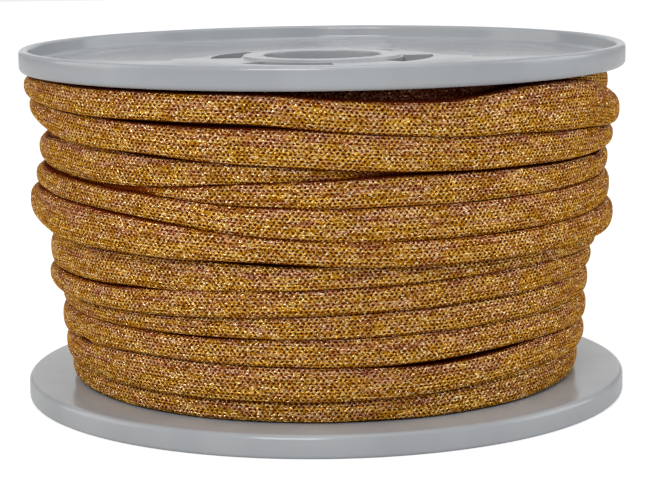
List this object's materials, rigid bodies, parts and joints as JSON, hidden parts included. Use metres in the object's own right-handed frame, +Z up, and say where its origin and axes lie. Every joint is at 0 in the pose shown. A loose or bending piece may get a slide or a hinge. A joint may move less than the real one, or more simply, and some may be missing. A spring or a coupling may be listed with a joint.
{
  "type": "decorative cord wound on a flanged spool",
  "caption": "Gold knitted decorative cord wound in uneven turns on a round flanged plastic spool with an open spindle bore.",
  "frame": {"origin": "centre of the base, on the surface that the lower rim stands on", "axes": "+Z up along the spindle bore; -Y faces the picture's viewer; +X is the viewer's right"},
  "size_m": [0.125, 0.125, 0.0724],
  "materials": {
    "cord": "knitted metallic yarn, gold with brown ground, glittering",
    "spool": "light grey moulded plastic, satin"
  },
  "bodies": {
    "root": {"cord_winding": "cord", "upper_flange": "spool", "lower_flange": "spool", "barrel": "spool"}
  },
  "joints": []
}
